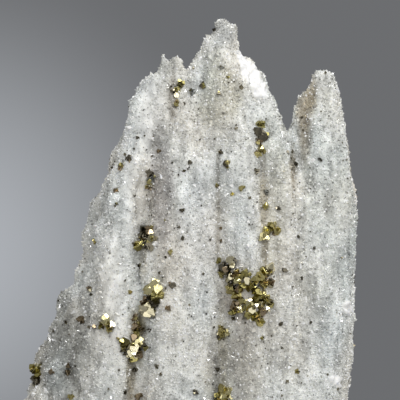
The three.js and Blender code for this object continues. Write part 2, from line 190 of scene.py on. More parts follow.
# The ovals on the front with a tone of their own, some of which are painted shade and painted highlight:
# name, middle in photograph pixels, half width and half height in pixels, linear colour and strength. Each
# has a ragged, soft border.
OVAL_RAGGEDNESS = 0.5
OVAL_BORDER = (0.45, 1.25)
OVAL_FRONT = (-6 * MM, 2 * MM)
TONES = [
    ("beige top", (218, 92), (26, 44), (0.54, 0.53, 0.46), 0.85),
    ("grey right ridge", (274, 190), (16, 80), (0.64, 0.64, 0.58), 0.7),
    ("green-grey spire", (330, 190), (34, 130), (0.64, 0.66, 0.63), 0.8),
    # Painted shade in the groove between the right spire's small lobe and its body.
    ("shaded groove", (304, 124), (9, 40), (0.34, 0.29, 0.21), 0.9),
    ("top of the shaded groove", (312, 92), (6, 24), (0.36, 0.31, 0.22), 0.9),
    ("grey foot of the centre", (232, 372), (34, 50), (0.45, 0.44, 0.40), 0.8),
    # Painted shade on the left flank, which faces away from the key light.
    ("shaded left flank", (62, 345), (30, 80), (0.36, 0.36, 0.335), 0.85),
    # Painted highlight along the left ridge.
    ("white left ridge, upper", (151, 112), (14, 45), (0.67, 0.67, 0.65), 0.9),
    ("white left ridge, middle", (133, 195), (12, 60), (0.78, 0.78, 0.75), 0.9),
    ("white left ridge, lower", (114, 300), (13, 65), (0.76, 0.76, 0.73), 0.8),
    # Painted shade on the inner ridge's left flank, which faces away from the key light.
    ("shaded inner flank", (162, 180), (13, 70), (0.42, 0.41, 0.40), 0.85),
    ("grey thin spires", (166, 66), (17, 20), (0.48, 0.49, 0.47), 0.85),
    ("grey top of the central spire", (224, 28), (16, 20), (0.50, 0.51, 0.50), 0.85),
    # A darker, warmer tone round the large group.
    ("darker tone round the large group", (240, 292), (26, 40), (0.56, 0.52, 0.47), 0.8),
    # Painted shade in the groove below the left groove's crystals.
    ("shade below the left groove's crystals", (139, 328), (9, 32), (0.31, 0.27, 0.18), 0.9),
    ("pale centre", (200, 230), (22, 70), (0.78, 0.78, 0.76), 0.6),
    # Painted shade along the creases between the ribs, and in the line left of the centre rib.
    ("crease below the groove's top", (263, 192), (4.5, 44), (0.39, 0.36, 0.28), 0.8),
    ("crease left of the right spire", (293, 172), (4.5, 36), (0.29, 0.26, 0.20), 0.9),
    ("crease right of the left ridge's top", (173, 98), (5, 30), (0.38, 0.36, 0.32), 0.85),
    ("crease at the foot of the left groove", (131, 376), (5, 30), (0.30, 0.27, 0.20), 0.85),
    ("crease below the right groove's pair", (264, 248), (3.5, 22), (0.36, 0.33, 0.25), 0.85),
    ("crease between the left groove's groups", (144, 262), (5, 26), (0.50, 0.47, 0.40), 0.7),
    ("line left of the centre rib", (218, 212), (3, 60), (0.42, 0.40, 0.35), 0.8),
    ("crease of the low centre", (222, 345), (5, 50), (0.41, 0.39, 0.32), 0.7),
]

# The ovals where the druse is thin, so that the smooth rib shows, and the share of crystals left there.
SMOOTH = [(middle, half) for name, middle, half, *_ in TONES if name.startswith("white left ridge")]
SMOOTH_DRUSE = 0.4

# The floor lies just below the base. Behind the specimen it stays below what the camera sees.
FLOOR_WIDTH = 3.0
FLOOR_FRONT = -1.5
FLOOR_BACK = 0.16
FLOOR_HEIGHT = -0.02 * MM
FLOOR_TONE = (0.40, 0.40, 0.40, 1)

# The studio's lights, which all aim at one place: name, place, side in metres, watts and colour.
AIM = (0, 0, 0.06)
WHITE = (1, 1, 1)
LIGHTS = [
    ("key", (0.50, -0.46, 0.46), 0.85, 2.5, (1.0, 0.99, 0.96)),
    ("fill", (-0.50, -0.68, 0.26), 0.90, 0.45, (1.0, 1.0, 0.98)),
    ("top", (0.14, 0.02, 0.62), 0.35, 1.1, WHITE),
    ("right lamp", (0.30, -0.80, 0.62), 0.15, 1.7, WHITE),
    ("left lamp", (-0.42, -0.75, 0.40), 0.15, 1.0, WHITE),
    ("high lamp", (0.05, -0.62, 0.80), 0.15, 1.1, WHITE),
]

# What surrounds the specimen: palest in one direction, then grey, then pale again to the sides. Each
# entry is a distance from the palest direction, as a chord of the unit sphere, and a linear colour.
PALEST_DIRECTION = (-0.072, 0.9973, -0.015)
SURROUNDINGS = [
    (0.0, (0.43, 0.45, 0.48, 1)),
    (0.090, (0.150, 0.154, 0.161, 1)),
    (0.30, (0.155, 0.158, 0.165, 1)),
    (0.95, (0.27, 0.27, 0.265, 1)),
]

# How a chalcopyrite crystal looks: its colour, and whether a broad face may glint towards the camera, which
# happens on GLINT_SHARE of them. Colours vary by LOOK_SPREAD. The dark look is partly painted shade, on
# crystals that lie in shadow.
LOOKS = {
    "bright": ((0.60, 0.55, 0.31), True),
    "pale": ((0.52, 0.48, 0.34), True),
    "gold": ((0.49, 0.43, 0.19), False),
    "olive": ((0.37, 0.33, 0.13), False),
    "brown": ((0.33, 0.26, 0.17), False),
    # Partly painted shade: a darker copy of the metal for crystals in shadow, and the colour of dark
    # crystals.
    "dark": ((0.16, 0.145, 0.11), False),
    "steel": ((0.36, 0.37, 0.36), False),
    "lilac": ((0.40, 0.35, 0.48), True),
}
GLINT_SHARE = 0.4
GLINT_SPREAD = 0.06
LOOK_SPREAD = 0.18
PALEST_METAL = 0.98

# Each crystal is a small growth: a host with smaller ones set into it. Its sizes, reach and lift are
# shares of the crystal's size. Some of the smaller ones have a look from COMMON_LOOKS, not the host's.
HOST_SIZE = 0.62
SATELLITE_SIZES = (0.22, 0.42)
SATELLITE_REACH = 0.50
SATELLITES_PER_MM = 1.3
OWN_LOOK_SHARE = 0.6
COMMON_LOOKS = ("gold", "gold", "olive", "olive", "brown", "dark", "dark", "pale")
CRYSTAL_LIFT = 0.24
CRYSTAL_BEVEL = 0.02
FACE_SHIFTS = (0.78, 1.22)

# The crystals of a solid that has none placed one by one.
AREA_PER_CRYSTAL = 3.0 * MM * MM
MOST_CRYSTALS = 10
CRYSTAL_SHARE = 0.62
CRYSTAL_SIZES = (1.0 * MM, 2.4 * MM)
CRYSTAL_SIZE_SPREAD = (0.8, 1.2)
CRYSTAL_REACH = 0.75
SMALL_GROUP_LOOKS = ("gold", "bright", "olive", "brown", "dark", "dark")

# A group grows on the front where its middle lies in front of this y, and on the back otherwise.
FRONT_DEPTH = 4 * MM

# Crystals placed one by one: column and row in the photograph, size in pixels and look.
MAIN_GROUP = [
    (218.7, 260, 5, "olive"), (230.6, 260.6, 9, "pale"), (225.6, 268.7, 10, "dark"),
    (221, 272.5, 6, "olive"), (235.6, 273, 7, "brown"), (244.4, 272, 9, "olive"),
    (230, 278.7, 9, "pale"), (236, 279, 8, "bright"), (232, 283.7, 7, "dark"),
    (246, 281, 9, "pale"), (231, 288.7, 9, "gold"), (238, 288, 8, "brown"),
    (242.5, 285, 7, "olive"), (248.7, 285.6, 8, "olive"), (255, 281, 9, "gold"),
    (258.7, 277, 9, "gold"), (263.7, 270, 8, "olive"), (269.4, 267, 9, "pale"),
    (265, 272, 7, "bright"), (262, 283.7, 8, "gold"), (269.4, 281, 8, "brown"),
    (255, 287.5, 7, "olive"), (262.5, 291, 6, "pale"), (237, 295, 8, "gold"),
    (258.7, 296, 10, "olive"), (265, 296, 7, "gold"), (241, 300, 7, "gold"),
    (235, 303.7, 9, "brown"), (233.7, 310, 9, "dark"), (240, 308.7, 8, "bright"),
    (248, 304.4, 10, "bright"), (251, 310, 8, "pale"), (260, 303.7, 9, "pale"),
    (268.7, 302, 8, "gold"), (261, 310, 8, "brown"), (247.5, 313.7, 8, "olive"),
    (255, 315, 8, "olive"), (258.7, 320, 8, "olive"), (266, 308.7, 6, "pale"),
    (233, 318, 4, "dark"),
]
PLACED = {
    "chalcopyrite_main_group": MAIN_GROUP,
    "chalcopyrite_left_groove_large": [
        (153.5, 286, 13, "bright"), (160, 291, 9, "gold"), (158, 296, 11, "olive"), (151, 296, 9, "dark"),
        (145, 301, 8, "brown"), (156, 303, 9, "dark"), (148, 309, 14, "pale"), (152.5, 312, 8, "olive"),
        (147, 306, 5, "lilac")],
    "chalcopyrite_left_groove_low": [
        (138, 342, 9, "bright"), (134, 347, 9, "pale"), (131, 352, 7, "pale"), (126, 342, 10, "olive"),
        (136, 346, 5, "lilac"), (142, 345, 8, "dark"), (139, 352, 8, "brown"), (125, 349, 6, "dark"),
        (133, 357, 8, "olive")],
    "chalcopyrite_left_groove_chain": [
        (136, 317, 7, "brown"), (138, 322, 6, "gold"), (135, 326, 7, "brown"), (137, 331, 7, "olive"),
        (143, 328, 7, "dark"), (134, 336, 6, "brown")],
    "chalcopyrite_left_ridge_face": [
        (106, 320, 9, "bright"), (109, 325, 9, "gold"), (112, 327, 6, "dark"), (103, 324, 6, "olive")],
    "chalcopyrite_left_groove_brown": [
        (144, 229, 9, "dark"), (150, 231, 9, "brown"), (146, 237, 11, "dark"), (152, 238, 8, "pale"),
        (143, 244, 9, "brown"), (149, 246, 10, "dark"), (138, 246, 8, "olive")],
    "chalcopyrite_left_groove_steel": [
        (149, 174, 7, "dark"), (150.5, 178.5, 8, "steel"), (151, 184, 8, "dark"), (149, 187, 6, "brown")],
    "chalcopyrite_groove_top": [
        (261, 124, 8, "olive"), (259, 131, 9, "dark"), (263, 137, 9, "dark"), (259, 142, 6, "brown"),
        (261, 149, 8, "gold"), (257, 155, 6, "gold")],
    "chalcopyrite_inner_ridge_foot": [
        (223, 386, 10, "gold"), (226, 392, 12, "bright"), (219, 395, 9, "olive"), (224, 399, 9, "brown")],
    "chalcopyrite_under_main_group": [
        (221, 330, 9, "gold"), (225, 333, 8, "bright"), (219, 336, 6, "olive")],
    "chalcopyrite_right_groove_pair": [
        (271, 226, 8, "bright"), (275, 231, 8, "gold"), (266, 232, 8, "olive"), (262, 237, 8, "bright")],
    "chalcopyrite_left_flank_low": [
        (36, 369, 10, "olive"), (31, 375, 12, "dark"), (35, 380, 10, "dark"), (38, 374, 8, "olive")],
}

# Single crystals between the groups.
SINGLES = [
    (137.5, 137.5, 3, "dark"), (129.5, 159, 6, "dark"), (203, 84.5, 6, "dark"), (193, 92.5, 6, "steel"),
    (221, 67.5, 5, "steel"), (228, 77.5, 4, "olive"), (219, 94, 4, "dark"), (180, 84, 7, "olive"),
    (176, 95, 6, "pale"), (221, 153, 4, "dark"), (190, 162.5, 4, "dark"), (217, 186, 4, "olive"),
    (232.5, 194, 4, "gold"), (241, 188, 5, "gold"), (265.5, 206, 5, "olive"), (278, 208, 4, "dark"),
    (265.5, 192, 5, "steel"), (165, 220, 3, "dark"), (179, 227, 3, "dark"), (171, 252, 5, "gold"),
    (135, 196, 3, "dark"), (117, 204, 3, "dark"), (221, 228, 3, "brown"), (221, 240, 3, "brown"),
    (284, 270, 5, "dark"), (301, 277.5, 3, "dark"), (172.5, 284, 6, "dark"), (160, 272, 3, "dark"),
    (140, 265, 4, "dark"), (131, 291, 4, "gold"), (81, 319, 7, "brown"), (90, 288, 5, "brown"),
    (169, 307, 5, "brown"), (280, 322, 4, "dark"), (281, 346, 3, "dark"), (150, 328, 4, "dark"),
    (157.5, 364, 4, "dark"), (161, 372, 3, "dark"), (119, 337, 3, "gold"), (52, 371, 5, "brown"),
    (217.5, 367.5, 5, "dark"), (196, 389, 5, "dark"), (139, 395, 6, "brown"), (126, 390, 4, "dark"),
    (287.5, 152.5, 4, "dark"), (296, 164, 4, "dark"), (319, 159, 3, "dark"), (310, 322, 3, "dark"),
]


def at_pixel(column, row):
    """The x and height, in metres, that a pixel of the photograph shows."""
    return (column - ORIGIN_COLUMN) * PIXEL, (BASE_ROW - row) * PIXEL


def noise_at(points, width, tallness, seed):
    """Smooth noise, about -0.7 to 0.7, in lumps of that width that are tallness times as tall."""
    scaled = points / (width, width, width * tallness) + seed
    return np.array([noise.noise(place) for place in scaled.tolist()])


def smooth_step(values, low, high):
    """0 up to low and 1 from high on, with a soft rise between them."""
    share = np.clip((values - low) / (high - low), 0.0, 1.0)
    return share * share * (3.0 - 2.0 * share)


def normalised(vectors):
    return vectors / np.maximum(np.linalg.norm(vectors, axis=-1, keepdims=True), 1e-12)


# The regions of the surface

def break_share(points):
    """1 on the fresh breaks, 0 off them, with a ragged border."""
    ragged = BREAK_RAGGEDNESS * noise_at(points, *BREAK_RAGS)
    share = np.zeros(len(points))
    for middle, half_length, half_width, angle, back in BREAKS:
        lean = np.array([np.cos(np.radians(angle)), -np.sin(np.radians(angle))])
        from_middle = points[:, [0, 2]] - at_pixel(*middle)
        along = from_middle @ lean
        across = from_middle @ (-lean[1], lean[0])
        reach = np.hypot(along / half_length, across / half_width) + ragged
        front = 1.0 - smooth_step(points[:, 1], back, back + BREAK_FADE)
        share = np.maximum(share, front * (1.0 - smooth_step(reach, *BREAK_BORDER)))
    return share


def oval_share(points, middle, half):
    """1 inside an oval of the photograph on the specimen's front, fading to 0 at a ragged border."""
    columns = points[:, 0] / PIXEL + ORIGIN_COLUMN
    rows = BASE_ROW - points[:, 2] / PIXEL
    ragged = OVAL_RAGGEDNESS * noise_at(points, *OVAL_RAGS)
    front = smooth_step(-points[:, 1], *OVAL_FRONT)
    reach = np.hypot((columns - middle[0]) / half[0], (rows - middle[1]) / half[1]) + ragged
    return front * (1.0 - smooth_step(reach, *OVAL_BORDER))


def colours_at(points, shaded_hollow):
    """The barite's colour at each point: its own tone, the ovals' tones, patches, and painted shade in the
    hollows.
    """
    colour = np.tile(BARITE_TONE, (len(points), 1))
    for _, middle, half, tone, strength in TONES:
        share = (strength * oval_share(points, middle, half))[:, None]
        colour = colour * (1.0 - share) + share * np.array(tone)
    patches = 1.0 + PATCH_STRENGTH * noise_at(points, *SMALL_PATCHES)
    patches += PATCH_STRENGTH * noise_at(points, *LARGE_PATCHES)
    patches += STREAK_STRENGTH * noise_at(along_ribs(points), *STREAKS)
    warmth = WARMTH * noise_at(points, *WARM_PATCHES)
    warm = np.stack([1.0 + warmth, np.ones(len(points)), 1.0 - warmth], axis=1)
    colour = colour * patches[:, None] * warm
    # Painted shade: the deeper a hollow lies, the more of the groove tone it takes.
    painted_groove_shade = (GROOVE_SHADE_STRENGTH * shaded_hollow)[:, None]
    colour = colour * (1.0 - painted_groove_shade) + painted_groove_shade * np.array(GROOVE_SHADE_TONE)
    fresh = break_share(points)[:, None]
    return np.clip(colour * (1.0 - fresh) + fresh * np.array(BREAK_TONE), 0.0, 1.0)


# Meshes

def mesh_object(name, points, faces):
    """A flat-shaded mesh as an object in the scene."""
    mesh = bpy.data.meshes.new(name)
    mesh.from_pydata(points.tolist(), [], faces.tolist() if isinstance(faces, np.ndarray) else faces)
    mesh.update()
    mesh.shade_flat()
    piece = bpy.data.objects.new(name, mesh)
    bpy.context.scene.collection.objects.link(piece)
    return piece


def set_colours(piece, name, colours):
    layer = piece.data.attributes.new(name, "FLOAT_COLOR", "POINT")
    layer.data.foreach_set("color", np.column_stack([colours, np.ones(len(colours))]).ravel())


def vertex_places(mesh):
    places = np.zeros(len(mesh.vertices) * 3)
    mesh.vertices.foreach_get("co", places)
    return places.reshape(-1, 3)


def vertex_normals(mesh):
    normals = np.zeros(len(mesh.vertices) * 3)
    mesh.vertices.foreach_get("normal", normals)
    return normals.reshape(-1, 3)


def applied(piece):
    """The piece's mesh with its modifiers applied, as the piece's own mesh."""
    evaluated = piece.evaluated_get(bpy.context.evaluated_depsgraph_get())
    mesh = bpy.data.meshes.new_from_object(evaluated)
    piece.modifiers.clear()
    piece.data = mesh
    return mesh


def neighbour_mean(mesh, values, rounds):
    """Values averaged with their neighbours' along the edges, a number of times."""
    ends = np.zeros(len(mesh.edges) * 2, dtype=int)
    mesh.edges.foreach_get("vertices", ends)
    first, second = ends.reshape(-1, 2).T
    count = np.bincount(ends, minlength=len(mesh.vertices))[:, None]
    for _ in range(rounds):
        total = np.zeros_like(values)
        np.add.at(total, first, values[second])
        np.add.at(total, second, values[first])
        values = 0.5 * values + 0.5 * total / np.maximum(count, 1)
    return values


def along_ribs(points):
    """The points with the ribs stood upright: on the left, the ribs fan out towards the foot."""
    lean = FAN_LEAN * np.clip((FAN_START - points[:, 0]) / FAN_WIDTH, 0.0, 1.0)
    straight = points.copy()
    straight[:, 0] += lean * (cad_box[1].z - points[:, 2])
    return straight


def ledges(points):
    """Steps like the ends of upright blades: each grows outwards as it rises and ends in a shelf."""
    own_phase = LEDGE_SHIFT * noise_at(points, *LEDGE_PHASES)
    phase = (points[:, 2] / LEDGE_PERIOD + own_phase) % 1.0
    return LEDGE_HEIGHT * (phase - 0.5) * smooth_step(1.0 - phase, 0.0, LEDGE_SHELF)


def relief(points):
    """How far out of the softened surface each point stands. The fresh breaks have steps instead."""
    upright = along_ribs(points)
    flutes = FLUTE_HEIGHT * noise_at(upright, *FLUTES)
    columns = COLUMN_HEIGHT * noise_at(upright, *COLUMNS)
    flank = 1.0 + FLANK_LUMPS * smooth_step(-upright[:, 0], *FLANK_REACH)
    lumps = LUMP_HEIGHT * flank * noise_at(points, *LUMPS)
    knobs = KNOB_HEIGHT * noise_at(points, *KNOBS)
    steps = BREAK_STEP_HEIGHT * np.sign(noise_at(points, *BREAK_STEPS))
    fresh = break_share(points)
    slimmer = 1.0 - (1.0 - TIP_RELIEF) * smooth_step(points[:, 2], *TIP_FADE)
    own = (ledges(points) + columns + flutes + lumps + knobs) * slimmer
    return own * (1.0 - fresh) + steps * fresh


def set_places(mesh, places):
    mesh.vertices.foreach_set("co", places.ravel())
    mesh.update()


def fill_grooves(mesh):
    """Moves what lies behind its surroundings out to them, so that narrow clefts close up."""
    for _ in range(FILLING_PASSES):
        places, normals = vertex_places(mesh), vertex_normals(mesh)
        depth = np.einsum("ij,ij->i", neighbour_mean(mesh, places, FILLING_ROUNDS) - places, normals)
        too_deep = np.maximum(depth - KEPT_DEPTH, 0.0)[:, None]
        outward = neighbour_mean(mesh, too_deep, FILLING_SPREAD_ROUNDS)
        set_places(mesh, neighbour_mean(mesh, places + normals * outward, FILLING_SOFTENING_ROUNDS))


def remeshed(piece):
    remesh = piece.modifiers.new("fine mesh", "REMESH")
    remesh.mode = "VOXEL"
    remesh.voxel_size = VOXEL
    return applied(piece)


def move_out(mesh, distance):
    set_places(mesh, vertex_places(mesh) + distance * vertex_normals(mesh))


def barite_mass():
    """The sheaf's surface and its hollows: the solid remeshed, softened and given its relief."""
    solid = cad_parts["barite_mass"]
    piece = bpy.data.objects.new("barite_surface", solid.data.copy())
    bpy.context.scene.collection.objects.link(piece)
    move_out(remeshed(piece), CLEFT / 2)
    mesh = remeshed(piece)
    move_out(mesh, -CLEFT / 2)
    sharp = neighbour_mean(mesh, vertex_places(mesh), 1)
    set_places(mesh, neighbour_mean(mesh, sharp, SOFTENING_ROUNDS))
    fill_grooves(mesh)
    tip = smooth_step(sharp[:, 2], *TIP_FADE)[:, None]
    places = vertex_places(mesh) * (1.0 - tip) + sharp * tip
    set_places(mesh, places)
    fade = smooth_step(places[:, 2], *BASE_FADE)
    places = places + vertex_normals(mesh) * (relief(places) * fade)[:, None]
    places[:, 2] = np.where(places[:, 2] < 0.5 * VOXEL, 0.0, places[:, 2])
    set_places(mesh, places)
    mesh.shade_smooth()
    shaded_hollow = hollows(mesh)
    set_colours(piece, "tone", colours_at(places, shaded_hollow))
    return piece, shaded_hollow


def hollows(mesh):
    """0 on ridges and flats, up to 1 in the grooves, which lie behind their surroundings. It sets the
    painted shade of the grooves.
    """
    places = vertex_places(mesh)
    outwards = neighbour_mean(mesh, places, HOLLOW_ROUNDS) - places
    depth = np.einsum("ij,ij->i", outwards, vertex_normals(mesh))
    return smooth_step(depth, *HOLLOW_DEPTHS)


# Crystals of the druse

OCTAHEDRON = np.array([[1, 0, 0], [-1, 0, 0], [0, 1, 0], [0, -1, 0], [0, 0, 1], [0, 0, -1]], dtype=float)
OCTAHEDRON_FACES = np.array([
    [0, 2, 4], [2, 1, 4], [1, 3, 4], [3, 0, 4], [2, 0, 5], [1, 2, 5], [3, 1, 5], [0, 3, 5]])


def scattered(mesh, count, random, density):
    """Places, normals and vertex numbers for count crystals, spread over the surface by that density."""
    areas = np.zeros(len(mesh.polygons))
    mesh.polygons.foreach_get("area", areas)
    centres = np.zeros(len(mesh.polygons) * 3)
    mesh.polygons.foreach_get("center", centres)
    normals = np.zeros(len(mesh.polygons) * 3)
    mesh.polygons.foreach_get("normal", normals)
    centres, normals = centres.reshape(-1, 3), normals.reshape(-1, 3)
    starts = np.zeros(len(mesh.polygons), dtype=int)
    mesh.polygons.foreach_get("loop_start", starts)
    corners = np.zeros(len(mesh.loops), dtype=int)
    mesh.loops.foreach_get("vertex_index", corners)
    share = areas * (centres[:, 2] > BARE_FOOT) * (1.0 - break_share(centres))
    share = share * density(centres, normals)
    steps = np.cumsum(share) / share.sum()
    picks = np.searchsorted(steps, (np.arange(count) + random.random(count)) / count)
    picks = np.minimum(picks, len(share) - 1)
    jitter = random.uniform(-JITTER, JITTER, (count, 3)) * VOXEL
    jitter -= normals[picks] * np.einsum("ij,ij->i", jitter, normals[picks])[:, None]
    return centres[picks] + jitter, normals[picks], corners[starts[picks]]


def bipyramids(places, normals, length, spread, widths, lift, random):
    """Four-sided bipyramids, one at each place, that point out and a little up: (points, faces)."""
    count = len(places)
    upwards = normals + UPRIGHT * np.array([0.0, 0.0, 1.0])
    axis = normalised(upwards + DISORDER * random.normal(size=(count, 3)))
    inward = np.einsum("ij,ij->i", axis, normals) < LEAST_OUTWARD
    axis = np.where(inward[:, None], normals, axis)
    side = normalised(np.cross(axis, random.normal(size=(count, 3))))
    other = np.cross(axis, side)
    half = length * np.exp(spread * random.normal(size=count))
    wide = half * random.uniform(*widths, count)
    thick = wide * random.uniform(*THICKNESSES, count)
    frames = np.stack([side * wide[:, None], other * thick[:, None], axis * half[:, None]], axis=1)
    middle = places + normals * (lift * half)[:, None]
    points = np.einsum("vk,nkj->nvj", OCTAHEDRON, frames) + middle[:, None, :]
    points[..., 2] = np.maximum(points[..., 2], LOWEST_CRYSTAL)
    faces = OCTAHEDRON_FACES[None] + len(OCTAHEDRON) * np.arange(count)[:, None, None]
    return points.reshape(-1, 3), faces.reshape(-1, 3)


def crystal_tones(places, shaded_hollow, random, spread):
    """The surface's colour on each crystal, a little lighter or darker, and near white on a few."""
    tone = colours_at(places, shaded_hollow) * np.exp(spread * random.normal(size=(len(places), 1)))
    clear = random.random(len(places)) < CLEAR_SHARE
    tone[clear] = CLEAR_TONE
    return np.repeat(np.clip(tone, 0.0, CLEAR_TONE), len(OCTAHEDRON), axis=0)


def druse_density(points, _):
    """The druse is even but for the smooth ovals."""
    smooth = np.max([oval_share(points, middle, half) for middle, half in SMOOTH], axis=0)
    return 1.0 - (1.0 - SMOOTH_DRUSE) * smooth


def druse(mass, shaded_hollow, random):
    """The crust of small crystals, from the left flank to the right spire, in a few joined meshes."""
    places, normals, corners = scattered(mass.data, DRUSE_COUNT, random, druse_density)
    order = np.argsort(places[:, 0])
    made = []
    for name, part in zip(DRUSE_PIECES, np.array_split(order, len(DRUSE_PIECES))):
        points, faces = bipyramids(
            places[part], normals[part], DRUSE_LENGTH, DRUSE_SPREAD, DRUSE_WIDTHS, DRUSE_LIFT, random)
        piece = mesh_object(f"barite_druse_{name}", points, faces)
        tones = crystal_tones(places[part], shaded_hollow[corners[part]], random, DRUSE_TONE_SPREAD)
        set_colours(piece, "tone", tones)
        made.append(piece)
    return made


def blade_density(_, normals):
    """Blades stand thickest along the specimen's left and right edges."""
    return FEWEST_BLADES + smooth_step(np.abs(normals[:, 0]), *BLADE_SIDES)


def blades(mass, shaded_hollow, random):
    """Larger, thinner crystals that stand here and there in the druse."""
    places, normals, corners = scattered(mass.data, BLADE_COUNT, random, blade_density)
    points, faces = bipyramids(
        places, normals, BLADE_LENGTH, BLADE_SPREAD, BLADE_WIDTHS, BLADE_LIFT, random)
    piece = mesh_object("barite_blades", points, faces)
    set_colours(piece, "tone", crystal_tones(places, shaded_hollow[corners], random, BLADE_TONE_SPREAD))
    return piece


def grain_density(points, _):
    """Grains gather in drifts."""
    return FEWEST_GRAINS + smooth_step(noise_at(points, *GRAIN_DRIFTS), *DRIFT_BORDER)


def dark_grains(mass, random):
    """Small tarnished crystals on the druse."""
    places, normals, _ = scattered(mass.data, GRAIN_COUNT, random, grain_density)
    lifted = places + normals * GRAIN_HEIGHT
    points, faces = bipyramids(
        lifted, normals, GRAIN_LENGTH, GRAIN_SPREAD, GRAIN_WIDTHS, GRAIN_LIFT, random)
    piece = mesh_object("chalcopyrite_grains", points, faces)
    tone = np.array(GRAIN_TONE) * np.exp(GRAIN_TONE_SPREAD * random.normal(size=(len(places), 1)))
    set_colours(piece, "tone", np.repeat(np.clip(tone, 0.0, PALEST_GRAIN), len(OCTAHEDRON), axis=0))
    return piece


# Chalcopyrite crystals

# The four broad faces lie nearest the middle. The cuts on the corners and the edges lie further out.
TETRAHEDRON = normalised(np.array([[1, 1, 1], [1, -1, -1], [-1, 1, -1], [-1, -1, 1]], dtype=float))
FACE_NORMALS = np.concatenate([TETRAHEDRON, -TETRAHEDRON, np.eye(3), -np.eye(3)])
FACE_DISTANCES = np.concatenate([np.full(4, 0.5), np.full(4, 1.0), np.full(6, 0.92)])

# Where a glinting face looks: about halfway from the camera to the lights on the right.
GLINT = Vector((0.26, -0.93, 0.30)).normalized()


def wedge_crystal(random):
    """The corners of one crystal: a tetrahedron with cut corners and edges, each face shifted a little."""
    distances = FACE_DISTANCES * random.uniform(*FACE_SHIFTS, len(FACE_DISTANCES))
    triples = np.array(list(combinations(range(len(FACE_NORMALS)), 3)))
    planes = FACE_NORMALS[triples]
    sound = np.abs(np.linalg.det(planes)) > 1e-6
    corners = np.linalg.solve(planes[sound], distances[triples][sound][..., None])[..., 0]
    inside = (corners @ FACE_NORMALS.T <= distances + 1e-9).all(axis=1)
    return corners[inside]


def crystal_mesh(corners, bevel):
    """A closed faceted solid on those corners, with narrow bevels: (points, faces)."""
    shape = bmesh.new()
    for corner in corners:
        shape.verts.new(corner)
    bmesh.ops.remove_doubles(shape, verts=shape.verts, dist=1e-4)
    hull = bmesh.ops.convex_hull(shape, input=shape.verts)
    loose = [v for v in {*hull["geom_interior"], *hull["geom_unused"]} if isinstance(v, bmesh.types.BMVert)]
    bmesh.ops.delete(shape, geom=loose, context="VERTS")
    bmesh.ops.dissolve_limit(shape, angle_limit=0.02, verts=shape.verts, edges=shape.edges)
    bmesh.ops.bevel(
        shape, geom=shape.edges[:], offset=bevel, segments=1, affect="EDGES", clamp_overlap=True)
    shape.verts.index_update()
    points = np.array([v.co[:] for v in shape.verts])
    faces = [[v.index for v in face.verts] for face in shape.faces]
    shape.free()
    return points, faces


def turned(points, glints, random):
    """The crystal at a random turn, or with its largest face towards the glint."""
    axis = Vector(random.normal(size=3)).normalized()
    turn = Matrix.Rotation(random.uniform(0.0, 2 * np.pi), 3, axis)
    if glints:
        face = Vector(TETRAHEDRON[random.integers(4)])
        aim = (GLINT + Vector(random.normal(scale=GLINT_SPREAD, size=3))).normalized()
        about = Matrix.Rotation(random.uniform(0.0, 2 * np.pi), 3, aim)
        turn = about @ face.rotation_difference(aim).to_matrix()
    return points @ np.array(turn).T


def perched(surface, x, height, facing):
    """Where a line along Y first meets the surface at x and height, or None."""
    start = Vector((x, facing * 1.0, height))
    return surface.ray_cast(start, Vector((0, -facing, 0)))[0]


def crystals_in(node, random):
    """Crystals spread over a solid that has no placed ones: (x, height, size, look)."""
    low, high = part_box(node)
    width, height = high.x - low.x, high.z - low.z
    count = int(np.clip(round(width * height / AREA_PER_CRYSTAL), 1, MOST_CRYSTALS))
    size = np.clip(CRYSTAL_SHARE * min(width, height), *CRYSTAL_SIZES)
    spread = (random.random((count, 2)) - 0.5) * (CRYSTAL_REACH if count > 1 else 0.0)
    made = []
    for across, up in spread:
        x, z = (low.x + high.x) / 2 + across * width, (low.z + high.z) / 2 + up * height
        own_size = size * random.uniform(*CRYSTAL_SIZE_SPREAD)
        made.append((x, z, own_size, SMALL_GROUP_LOOKS[random.integers(len(SMALL_GROUP_LOOKS))]))
    return made


def growth(middle, size, look, random):
    """One crystal with smaller ones set into it: a list of (points, faces, colour)."""
    count = int(np.ceil(SATELLITES_PER_MM * (size / MM) + 1.0))
    spread = normalised(random.normal(size=(count, 3))) * (SATELLITE_REACH * size)
    members = [(middle, HOST_SIZE * size, look)]
    for offset in spread:
        own = random.random() < OWN_LOOK_SHARE
        other = COMMON_LOOKS[random.integers(len(COMMON_LOOKS))]
        members.append((middle + offset, random.uniform(*SATELLITE_SIZES) * size, look if own else other))
    made = []
    for place, half, name in members:
        colour, glints = LOOKS[name]
        points, faces = crystal_mesh(wedge_crystal(random), CRYSTAL_BEVEL)
        tone = np.clip(np.array(colour) * np.exp(LOOK_SPREAD * random.normal()), 0.0, PALEST_METAL)
        glints = glints and random.random() < GLINT_SHARE
        made.append((turned(points, glints, random) * half + place, faces, tone))
    return made


def chalcopyrite_piece(name, wanted, surface, facing, random):
    """Crystals perched where they are wanted, (x, height, size, look), as one piece."""
    points, faces, tones = [], [], []
    for x, height, size, look in wanted:
        place = perched(surface, x, height, facing)
        if place is None:
            continue
        middle = np.array(place) + (0, facing * CRYSTAL_LIFT * size, 0)
        for corners, crystal_faces, tone in growth(middle, size, look, random):
            start = sum(map(len, points))
            points.append(corners)
            faces += [[start + i for i in face] for face in crystal_faces]
            tones.append(np.tile(tone, (len(corners), 1)))
    piece = mesh_object(name, np.concatenate(points), faces)
    set_colours(piece, "tone", np.concatenate(tones))
    return piece


def from_photo(crystals):
    """Crystals given in photograph pixels, in metres."""
    return [(*at_pixel(column, row), size * PIXEL, look) for column, row, size, look in crystals]


